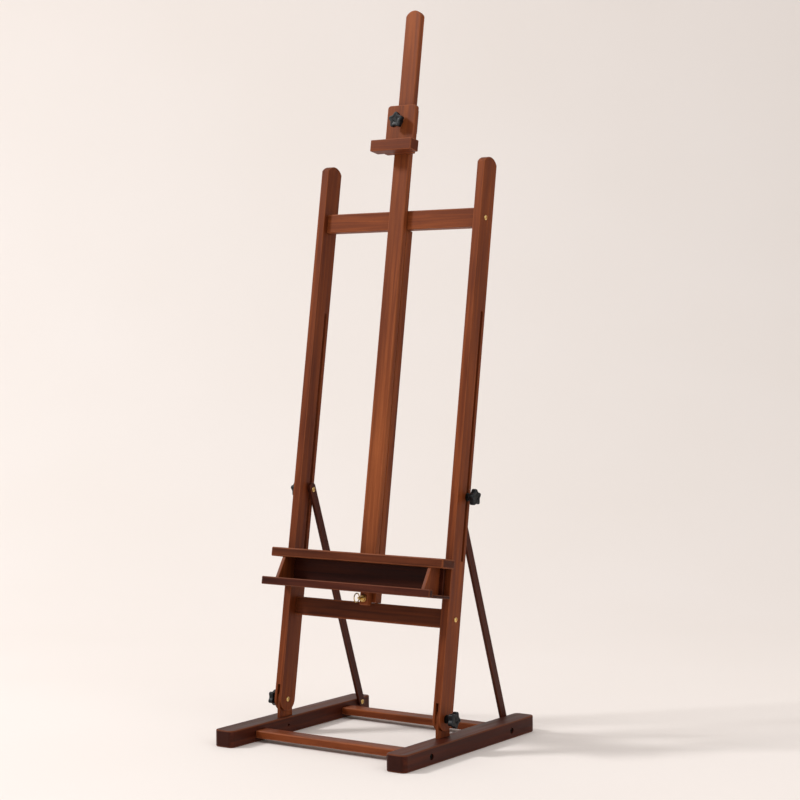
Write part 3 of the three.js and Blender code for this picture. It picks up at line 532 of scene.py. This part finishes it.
beech_mast = stained_beech("stained beech, mast and clamp", UP, *MAST_STAIN)
beech_leaning = stained_beech("stained beech, posts", UP, *FRAME_STAIN)
beech_across = stained_beech("stained beech, crossbars", X, *FRAME_STAIN)
# On the tray's back and floor this deep stain is partly painted shade, for the shade inside the tray.
beech_tray_stain_and_shade = stained_beech("stained beech, tray, partly painted shade", X, *DEEP_STAIN, lift=0.2)
# On the lower crossbar this darker stain is painted shade, the tray's shadow painted onto the bar.
beech_ledge_and_shaded_crossbar = stained_beech("stained beech ledge, and lower crossbar in painted shade", X, *LEDGE_STAIN_AND_SHADE)
beech_runner = stained_beech("stained beech, runners", Y, *DEEP_STAIN, lift=0.2)
beech_brace = stained_beech("stained beech, braces", brace_line.normalized(), *DEEP_STAIN, lift=0.2)
brass = metal("lacquered brass, dulled", "e6c682", "b18c50", 0.28, 0.2)
zinc = metal("zinc-plated steel", "a8aaad", "7f8184", 0.36, 0.3)
black_steel = metal("blackened steel", "26241f", "151311", 0.5, 0.3)
knob_plastic = moulded("moulded black nylon", "08090a", "24282c", 0.4, 0.6 * MM, 1.53)
pad_rubber = moulded("moulded black rubber", "141414", "2a2a2a", 0.7, 0.8 * MM, 1.5)


# ---- Base -----------------------------------------------------------------------------------------


def runner(hand, side):
    """A floor runner with round ends, drilled for its rail bolts and its tongue's pin."""
    low, high = span(f"runner_{hand}")
    work = block(low, high)
    ease(work, RUNNER_CORNER, runs_along(Z), segments=12, edge_highlight=0)
    ease(work, EASE)
    outer = high.x if side > 0 else low.x
    inner = low.x if side > 0 else high.x
    holes = []
    for place in ("front", "rear"):
        bolt_low, bolt_high = span(f"rail_bolt_{place}_{hand}")
        middle = (bolt_low + bolt_high) / 2
        mouth = Vector((outer, middle.y, middle.z))
        hole = rod(BOLT_RECESS, -PAST, BOLT_RECESS_DEPTH, -side * X)
        holes.append(moved(hole, mouth))
    pin = Vector((inner, joint_place("frame_tilt").y, (low.z + high.z) / 2))
    holes.append(moved(rod(TONGUE_PIN, -PAST, TONGUE_PIN_DEPTH, side * X), pin))
    finish(cut(work, holes), f"runner_{hand}", beech_runner)


def tongue(hand):
    """The round-topped plate that the post's fork straddles."""
    node = f"pivot_tongue_{hand}"
    low, high = span(node)
    work = block(low, high)
    round_top = (high.y - low.y) / 2 - SLIVER
    ease(work, round_top, runs_along(X, lambda p: p.z > high.z - MM), segments=20, edge_highlight=0)
    ease(work, RIM_EASE, segments=2)
    finish(work, node, beech_leaning)


# ---- Tilting frame --------------------------------------------------------------------------------


def open_slot(work, side_faces_at, y_range, z_range):
    """Opens a slot with round ends through a post, from its left face to its right one."""
    for y in y_range:
        score(work, Y * y, Y)
    for z in z_range:
        score(work, Z * z, Z)
    inside = []
    for face in work.faces:
        middle = face.calc_center_median()
        on_side = min(abs(middle.x - x) for x in side_faces_at) < NEAR
        if on_side and y_range[0] < middle.y < y_range[1] and z_range[0] < middle.z < z_range[1]:
            inside.append(face)
    rims = {e for face in inside for e in face.edges}
    bmesh.ops.delete(work, geom=inside, context="FACES_ONLY")
    walls = bmesh.ops.bridge_loops(work, edges=list(rims))
    bmesh.ops.recalc_face_normals(work, faces=work.faces)
    corners = [e for e in walls["edges"] if runs_along(X)(e)]
    bmesh.ops.bevel(
        work,
        geom=corners,
        offset=(y_range[1] - y_range[0]) / 2 - SLIVER,
        segments=10,
        profile=0.5,
        affect="EDGES",
        material=-1,
    )


def post(hand):
    """A post with a fork at its foot, a rounded top, and a long slot for its brace's bolt."""
    node = f"post_{hand}"
    low, high = span(node, LEANING)
    middle = (low.x + high.x) / 2
    half_depth = (high.y - low.y) / 2
    work = block(Vector((low.x, low.y, FORK_DEPTH)), high)
    crown(work, high.z, half_depth, Y)
    for x in (middle - FORK_HALF, middle + FORK_HALF):
        score(work, X * x, X)
    bottom = [f for f in work.faces if abs(f.calc_center_median().z - FORK_DEPTH) < NEAR]
    cheeks = [f for f in bottom if abs(f.calc_center_median().x - middle) > FORK_HALF]
    prongs = bmesh.ops.extrude_discrete_faces(work, faces=cheeks)["faces"]
    ends = {v for f in prongs for v in f.verts}
    bmesh.ops.translate(work, vec=Z * (low.z - FORK_DEPTH), verts=list(ends))
    bmesh.ops.recalc_face_normals(work, faces=work.faces)
    foot = runs_along(X, lambda p: p.z < low.z + MM)
    ease(work, half_depth - SLIVER, foot, segments=24, edge_highlight=0)
    ease(work, EASE, lambda e: all(abs(v.co.x - middle) > FORK_HALF + MM for v in e.verts))
    slot_middle = (LEANING.inverted() @ joint_place(f"brace_knob_turn_{hand}")).y
    slot_front, slot_rear = slot_middle - SLOT_WIDTH / 2, slot_middle + SLOT_WIDTH / 2
    open_slot(work, (low.x, high.x), (slot_front, slot_rear), (SLOT_BOTTOM, SLOT_TOP))

    def in_slot(edge):
        places = [v.co for v in edge.verts]
        across = all(slot_front - NEAR < co.y < slot_rear + NEAR for co in places)
        return across and all(SLOT_BOTTOM - NEAR < co.z < SLOT_TOP + NEAR for co in places)

    ease(work, RIM_EASE, in_slot, segments=2)
    finish(work, node, beech_leaning, LEANING)


def crossbar_upper():
    """The upper crossbar, whose front is cut away for the mast."""
    node = "crossbar_upper"
    low, high = span(node, LEANING)
    work = ease(block(low, high), EASE)
    mast_low, mast_high = span("mast", LEANING)
    channel_low = Vector((mast_low.x - MAST_CLEARANCE, low.y - PAST, low.z - PAST))
    floor = mast_high.y + MAST_DEPTH_CLEARANCE
    channel_high = Vector((mast_high.x + MAST_CLEARANCE, floor, high.z + PAST))
    finish(cut(work, [block(channel_low, channel_high)]), node, beech_across, LEANING)


def centre_rail():
    """The rail's front has a T-shaped groove for the shoes, and stop holes for the plunger."""
    node = "centre_rail"
    low, high = span(node, LEANING)
    work = ease(block(low, high), THIN_EASE)
    bottom, top, front = low.z - PAST, high.z + PAST, low.y
    neck_low = Vector((-NECK_HALF, front - PAST, bottom))
    neck_high = Vector((NECK_HALF, front + NECK_DEPTH, top))
    head_low = Vector((-HEAD_HALF, front + HEAD_START, bottom))
    head_high = Vector((HEAD_HALF, front + GROOVE_DEPTH, top))
    lowest = (LEANING.inverted() @ joint_place("ring_swing")).z
    holes = []
    for i in range(STOP_HOLES):
        height = lowest + i * STOP_SPACING
        hole = rod(STOP_RADIUS, 0, high.y - low.y, Y, 24)
        holes.append(moved(hole, Vector((0, front + STOP_START, height))))
    grooved = cut(work, [block(neck_low, neck_high), block(head_low, head_high)])
    # A line across the rail between the holes keeps each hole in faces of its own.
    for i in range(STOP_HOLES + 1):
        score(grooved, Z * (lowest + (i - 0.5) * STOP_SPACING), Z)
    finish(cut(grooved, holes), node, beech_leaning, LEANING)


def star_knob(direction, hub, seat):
    """A star knob: a lobed head with a dished cap, on a round hub that stands on its seat."""
    work = new_work()
    ring = bmesh.ops.create_circle(work, cap_ends=True, segments=LOBES * 20, radius=LOBE_TIP)["verts"]
    for vertex in ring:
        angle = math.atan2(vertex.co.x, vertex.co.y)
        wave = (1 - math.cos(LOBES * angle)) / 2
        vertex.co *= (LOBE_TIP - LOBE_DIP * wave**0.85) / LOBE_TIP
    raised = bmesh.ops.extrude_face_region(work, geom=work.faces[:])["geom"]
    upper = [v for v in raised if isinstance(v, bmesh.types.BMVert)]
    bmesh.ops.translate(work, vec=Z * KNOB_HEAD, verts=upper)
    bmesh.ops.recalc_face_normals(work, faces=work.faces)
    for face in work.faces:
        face.normal_update()
    ease(work, KNOB_EASE, segments=5)
    cap = max(work.faces, key=lambda f: (round(f.calc_center_median().z, 6), f.calc_area()))
    bmesh.ops.inset_region(work, faces=[cap], thickness=KNOB_CAP, depth=0)
    bmesh.ops.inset_region(work, faces=[cap], thickness=KNOB_DISH_SLOPE, depth=-KNOB_DISH)
    bmesh.ops.translate(work, vec=Z * (hub - HEAD_LAP), verts=work.verts)
    turn = Z.rotation_difference(direction).to_matrix()
    bmesh.ops.rotate(work, matrix=turn, verts=work.verts)
    bmesh.ops.translate(work, vec=seat, verts=work.verts)
    # The stem flares to meet the lobes, and runs up inside them.
    stem_profile = [
        (0, 0),
        *arc((STEM_FOOT - STEM_EASE, STEM_EASE), STEM_EASE, -90, 0, 3),
        (STEM_WAIST, hub * 0.55),
        (STEM_TOP, hub + 0.4 * MM),
        (STEM_TOP, hub + STEM_RISE),
        (0, hub + STEM_RISE),
    ]
    stem = turned(stem_profile, direction, seat)
    stem_mesh = bpy.data.meshes.new("stem")
    stem.to_mesh(stem_mesh)
    stem.free()
    work.from_mesh(stem_mesh)
    bpy.data.meshes.remove(stem_mesh)
    return work


def axis_height(node, frame_axes):
    """Height of a knob's turning axis, along the given axes."""
    return (frame_axes.inverted() @ joint_place(node.replace("_knob_", "_knob_turn_"))).z


def knobs():
    """The knobs of the two pivots, the two braces and the clamp."""
    for hand, side in SIDES:
        for kind, frame_axes in (("pivot", LEANING), ("brace", BRACE)):
            node = f"{kind}_knob_{hand}"
            low, high = span(node, frame_axes)
            seat_x = low.x if side > 0 else high.x
            seat = Vector((seat_x, 0, axis_height(node, frame_axes)))
            hub = (high.x - low.x) - KNOB_HEAD
            finish(star_knob(side * X, hub, seat), node, knob_plastic, frame_axes)
    place = LEANING.inverted() @ joint_place("clamp_knob_turn")
    block_low, _ = span("clamp_block", LEANING)
    seat = Vector((0, block_low.y - CLAMP_KNOB_GAP, place.z))
    finish(star_knob(-Y, CLAMP_KNOB_HUB, seat), "clamp_knob", knob_plastic, LEANING)


def bolt(node, frame_axes, direction, sizes, material, sides=6, domed=True):
    """A bolt with a domed or flat head, and a socket of that many sides.

    direction runs from the head to the shank's end.
    """
    head_radius, head_height, shank = sizes
    low, high = span(node, frame_axes)
    middle = (low + high) / 2
    half = abs((high - low).dot(direction)) / 2
    start = middle - direction * half
    length = 2 * half
    if domed:
        sphere = (head_radius**2 + head_height**2) / (2 * head_height)
        reach = math.degrees(math.asin(head_radius / sphere))
        face = [(0, 0), *arc((0, sphere), sphere, -90, -90 + reach, 8)[1:]]
    else:
        round_edge = 0.5 * MM
        face = [(0, 0), *arc((head_radius - round_edge, round_edge), round_edge, -90, 0, 3)]
    under_head = [(head_radius, head_height), (shank, head_height)]
    work = turned([*face, *under_head, (shank, length), (0, length)], direction, start)
    socket = moved(rod(head_radius * 0.46, -MM, head_height * 0.75, direction, sides), start)
    finish(cut(work, [socket]), node, material, frame_axes)


def ring_washer(node, frame_axes):
    """A flat ring with its four edges broken, in blackened steel, dark also as painted shade under a
    knob.
    """
    low, high = span(node, frame_axes)
    middle = (low + high) / 2
    outer = (high.z - low.z) / 2
    thick = high.x - low.x
    inner = WASHER_BORE
    edge = min(WASHER_EDGE, thick / 3)
    profile = [
        (inner, edge),
        (inner + edge, 0),
        (outer - edge, 0),
        (outer, edge),
        (outer, thick - edge),
        (outer - edge, thick),
        (inner + edge, thick),
        (inner, thick - edge),
        (inner, edge),
    ]
    start = Vector((low.x, middle.y, middle.z))
    finish(turned(profile, X, start), node, black_steel, frame_axes)


# ---- Braces ---------------------------------------------------------------------------------------


def brace(hand):
    """A flat stay with round ends."""
    node = f"brace_{hand}"
    low, high = span(node, BRACE)
    work = block(low, high)
    round_end = (high.y - low.y) / 2 - SLIVER
    ease(work, round_end, runs_along(X), segments=16, edge_highlight=0)
    ease(work, THIN_EASE, segments=3)
    finish(work, node, beech_brace, BRACE)


# ---- Mast, tray and plunger -----------------------------------------------------------------------


def mast():
    """The mast, with a rounded top, and a narrow tail below the tray."""
    low, high = span("mast", LEANING)
    shoulder = span("tray_floor", LEANING)[0].z
    work = block(low, high)
    crown(work, high.z, (high.x - low.x) / 2, X)
    notches = []
    for side in (-1, 1):
        left, right = sorted((side * TAIL_HALF, side * (high.x + PAST)))
        notch_low = Vector((left, low.y - PAST, low.z - PAST))
        notches.append(block(notch_low, Vector((right, high.y + PAST, shoulder))))
    finish(ease(cut(work, notches), EASE), "mast", beech_mast, LEANING)


def tray_end(hand):
    """An end plate whose front slopes out from the ledge down to the lip."""
    node = f"tray_end_{hand}"
    low, high = span(node, LEANING)
    corners = [LEANING.inverted() @ v.co for v in nodes[node].data.vertices]
    front = min(corner.y for corner in corners if corner.z > high.z - MM)
    work = block(low - Z * HOUSING, high + Z * HOUSING)
    upper = [v for v in work.verts if v.co.z > high.z - MM and v.co.y < low.y + MM]
    bmesh.ops.translate(work, vec=Y * (front - low.y), verts=upper)
    finish(ease(work, THIN_EASE, segments=3), node, beech_leaning, LEANING)


def plunger():
    """A turned brass barrel with a collar, the drawn pin and its pull ring."""
    eye = LEANING.inverted() @ joint_place("ring_swing")
    barrel_low, barrel_high = span("plunger_barrel", LEANING)
    seat = Vector((0, barrel_high.y, eye.z))
    length = barrel_high.y - barrel_low.y
    rim = COLLAR - COLLAR_EASE  # where the collar's two roundings start
    collar_end = SLEEVE_LENGTH + COLLAR_LENGTH
    nose_ease = 1 * MM
    barrel = [
        (BARREL_BORE, 0),
        (SLEEVE, 0),
        (SLEEVE, SLEEVE_LENGTH),
        *arc((rim, SLEEVE_LENGTH + COLLAR_EASE), COLLAR_EASE, -90, 0, 2),
        *arc((rim, collar_end - COLLAR_EASE), COLLAR_EASE, 0, 90, 2),
        (NOSE, collar_end + 0.1 * MM),
        (NOSE, length - 1.2 * nose_ease),
        *arc((NOSE - nose_ease, length - nose_ease), nose_ease, 0, 90, 4),
        (BARREL_BORE, length),
        (BARREL_BORE, 0),
    ]
    finish(turned(barrel, -Y, seat), "plunger_barrel", brass, LEANING)

    pin_low, pin_high = span("plunger_pin", LEANING)
    long = pin_high.y - pin_low.y
    pin = [
        (0, 0),
        (PIN_TIP, 0),
        (PIN, PIN_TAPER),
        *arc((PIN - PIN_EASE, long - PIN_EASE), PIN_EASE, 0, 90, 4),
        (0, long),
    ]
    work = turned(pin, -Y, Vector((0, pin_high.y, eye.z)))
    drilled = moved(rod(EYE_HOLE, -2 * PIN, 2 * PIN, Z, 24), eye)
    finish(cut(work, [drilled]), "plunger_pin", brass, LEANING)

    wire = new_work()
    section = bmesh.ops.create_circle(wire, segments=16, radius=PULL_WIRE)["verts"]
    bmesh.ops.rotate(wire, matrix=Matrix.Rotation(math.pi / 2, 3, "X"), verts=section)
    bmesh.ops.translate(wire, vec=X * PULL_RING, verts=section)
    bmesh.ops.spin(
        wire,
        geom=wire.verts[:] + wire.edges[:],
        cent=(0, 0, 0),
        axis=Z,
        angle=2 * math.pi,
        steps=64,
        use_merge=True,
    )
    bmesh.ops.remove_doubles(wire, verts=wire.verts, dist=ON_SEAM)
    bmesh.ops.rotate(wire, matrix=Matrix.Rotation(math.pi / 2, 3, "Y"), verts=wire.verts)
    bmesh.ops.translate(wire, vec=eye - Y * PULL_RING, verts=wire.verts)
    finish(wire, "plunger_ring", brass, LEANING)


# ---- Canvas clamp ---------------------------------------------------------------------------------


def clamp():
    """The canvas clamp: its block, grip, strap, screws and pad."""
    low, high = span("clamp_block", LEANING)
    work = block(low, high)
    ease(work, CLAMP_CORNER, runs_along(Y, lambda p: p.z > high.z - MM), segments=8, edge_highlight=0)
    finish(ease(work, CLAMP_EASE), "clamp_block", beech_mast, LEANING)
    board("clamp_grip", beech_across, LEANING, CLAMP_EASE)

    eased_section("clamp_strap", zinc, 0.5 * MM)
    for hand, _ in SIDES:
        bolt(f"strap_screw_{hand}", LEANING, -Y, STRAP_SCREW, zinc, sides=4)

    pad_low, pad_high = span("clamp_pad", LEANING)
    radius, thick, edge = (pad_high.x - pad_low.x) / 2, pad_high.y - pad_low.y, 0.6 * MM
    rear = arc((radius - edge, edge), edge, -90, 0, 4)
    front = arc((radius - edge, thick - edge), edge, 0, 90, 4)
    centre = Vector((0, pad_low.y, (pad_low.z + pad_high.z) / 2))
    finish(turned([(0, 0), *rear, *front, (0, thick)], Y, centre), "clamp_pad", pad_rubber, LEANING)


# ---- Putting the easel together -------------------------------------------------------------------

for hand, side in SIDES:
    runner(hand, side)
    tongue(hand)
    post(hand)
    brace(hand)
    tray_end(hand)
    outward, inward = side * X, -side * X
    for place, frame_axes in (("brace_foot", LEVEL), ("brace", BRACE), ("pivot", LEANING)):
        bolt(f"{place}_bolt_{hand}", frame_axes, outward, PIVOT_BOLT, brass)
    for level in ("upper", "lower"):
        bolt(f"crossbar_bolt_{level}_{hand}", LEANING, inward, CROSSBAR_BOLT, brass)
    for place in ("front", "rear"):
        bolt(f"rail_bolt_{place}_{hand}", LEVEL, inward, RAIL_BOLT, black_steel, domed=False)
    ring_washer(f"pivot_washer_{hand}", LEANING)
    ring_washer(f"brace_washer_{hand}", BRACE)
    ring_washer(f"brace_spacer_{hand}", BRACE)
board("floor_rail_front", beech_across)
board("floor_rail_rear", beech_across)
# Painted shade: the lower crossbar takes the ledge's darker stain for the tray's shadow on it.
board("crossbar_lower", beech_ledge_and_shaded_crossbar, LEANING)
crossbar_upper()
centre_rail()
mast()
board("tray_ledge", beech_ledge_and_shaded_crossbar, LEANING)
# Painted shade in part: the tray's back and floor take the deepest stain for the shade inside it.
board("tray_back", beech_tray_stain_and_shade, LEANING, RIM_EASE, HOUSING)
board("tray_floor", beech_tray_stain_and_shade, LEANING, THIN_EASE)
board("tray_lip", beech_tray_stain_and_shade, LEANING, LIP_EASE)
plunger()
clamp()
knobs()

eased_section("mast_shoe_lower", beech_mast, RIM_EASE)
eased_section("mast_shoe_upper", beech_mast, RIM_EASE)
eased_section("clamp_insert", brass, 0.2 * MM)
for place, inward in (("upper", -Z), ("lower_left", Z), ("lower_right", Z)):
    bolt(f"rail_screw_{place}", LEANING, inward, RAIL_SCREW, zinc, domed=False)


# ---- Studio ---------------------------------------------------------------------------------------


# The camera stands to the right of the easel's front, level with its middle, and has a long lens.
LENS, SENSOR = 86.87, 36  # millimetres
SHIFT_X, SHIFT_Y = -0.0029, -0.0429
LOOK_AT, CAMERA_DISTANCE = Vector((0.2190, -0.2110, 0.8930)), 4.2999
CAMERA_AZIMUTH, CAMERA_ELEVATION, CAMERA_ROLL = 34.153, 0.646, -0.187  # degrees

# Each lamp's azimuth from the easel's front and its elevation in degrees, its distance and size in
# metres, and its power in watts
LAMPS = {
    "key": (-52, 38, 8.0, 1.3, 370),
    "fill": (75, 25, 5.5, 3.5, 50),
    "top": (0, 80, 5.0, 4.0, 45),
}
LIT_POINT = Vector((0, 0, 0.8))
ROOM_COLOUR, ROOM_LIGHT = "fffdfb", 0.56

# The paper sweep: where its bend starts behind the easel, the bend's radius, the wall above it, and
# how far the paper reaches to each side and to the front
SWEEP_START, SWEEP_BEND, SWEEP_WALL, SWEEP_REACH = 1.6, 4.0, 6.0, 30.0


def stand(data, middle, azimuth, elevation, distance, roll=0):
    """Stands a camera or lamp at a distance from a point, facing it."""
    made = bpy.data.objects.new(data.name, data)
    bpy.context.scene.collection.objects.link(made)
    azimuth, elevation = math.radians(azimuth), math.radians(elevation)
    level = math.cos(elevation)
    away = Vector((math.sin(azimuth) * level, -math.cos(azimuth) * level, math.sin(elevation)))
    made.location = middle + away * distance
    made.rotation_mode = "QUATERNION"
    rolled = Matrix.Rotation(math.radians(roll), 3, "Z").to_quaternion()
    made.rotation_quaternion = away.to_track_quat("Z", "Y") @ rolled
    return made


def camera():
    """The camera that the easel is seen from."""
    data = bpy.data.cameras.new("camera")
    data.lens, data.sensor_width = LENS, SENSOR
    data.shift_x, data.shift_y = SHIFT_X, SHIFT_Y
    made = stand(data, LOOK_AT, CAMERA_AZIMUTH, CAMERA_ELEVATION, CAMERA_DISTANCE, CAMERA_ROLL)
    bpy.context.scene.camera = made


def lamp(name, azimuth, elevation, distance, size, power):
    """A square soft white light that faces the easel's middle."""
    data = bpy.data.lights.new(name, "AREA")
    data.size, data.energy = size, power
    stand(data, LIT_POINT, azimuth, elevation, distance)


def paper_sweep():
    """Pale paper that lies under the easel and curves up behind it, square to the camera."""
    material, tree, shader = new_material("matt backdrop paper")
    position = add(tree, "TexCoord").outputs["Object"]
    cloud = add(tree, "TexNoise", {"Vector": position, "Scale": 0.9, "Detail": 2}).outputs[0]
    colours = {FACTOR: cloud, FIRST: linear("f2ebe7"), SECOND: linear("eee6e0")}
    colour = add(tree, "Mix", colours, data_type="RGBA").outputs[MIXED]
    tree.links.new(colour, shader.inputs["Base Color"])
    shader.inputs["Roughness"].default_value = 0.9
    shader.inputs["Specular IOR Level"].default_value = 0.1

    work = bmesh.new()
    turn = Matrix.Rotation(math.radians(CAMERA_AZIMUTH), 3, "Z")
    outline = [
        (-SWEEP_REACH, 0),
        *arc((SWEEP_START, SWEEP_BEND), SWEEP_BEND, -90, 0, 24),
        (SWEEP_START + SWEEP_BEND, SWEEP_BEND + SWEEP_WALL),
    ]
    line = [work.verts.new(turn @ Vector((-SWEEP_REACH, y, z))) for y, z in outline]
    edges = [work.edges.new(pair) for pair in zip(line, line[1:])]
    swept = bmesh.ops.extrude_edge_only(work, edges=edges)["geom"]
    far = [v for v in swept if isinstance(v, bmesh.types.BMVert)]
    bmesh.ops.translate(work, vec=turn @ Vector((2 * SWEEP_REACH, 0, 0)), verts=far)
    bmesh.ops.recalc_face_normals(work, faces=work.faces)
    sweep = as_object(work, "paper_sweep")
    for face in sweep.data.polygons:
        face.use_smooth = True
    sweep.data.materials.append(material)


def room():
    """The even light of a white room, and colours shown as they are."""
    world = bpy.data.worlds.new("studio")
    world.use_nodes = True
    light = world.node_tree.nodes["Background"]
    light.inputs["Color"].default_value = linear(ROOM_COLOUR)
    light.inputs["Strength"].default_value = ROOM_LIGHT
    bpy.context.scene.world = world
    bpy.context.scene.view_settings.view_transform = "Standard"


camera()
paper_sweep()
for name, settings in LAMPS.items():
    lamp(name, *settings)
room()
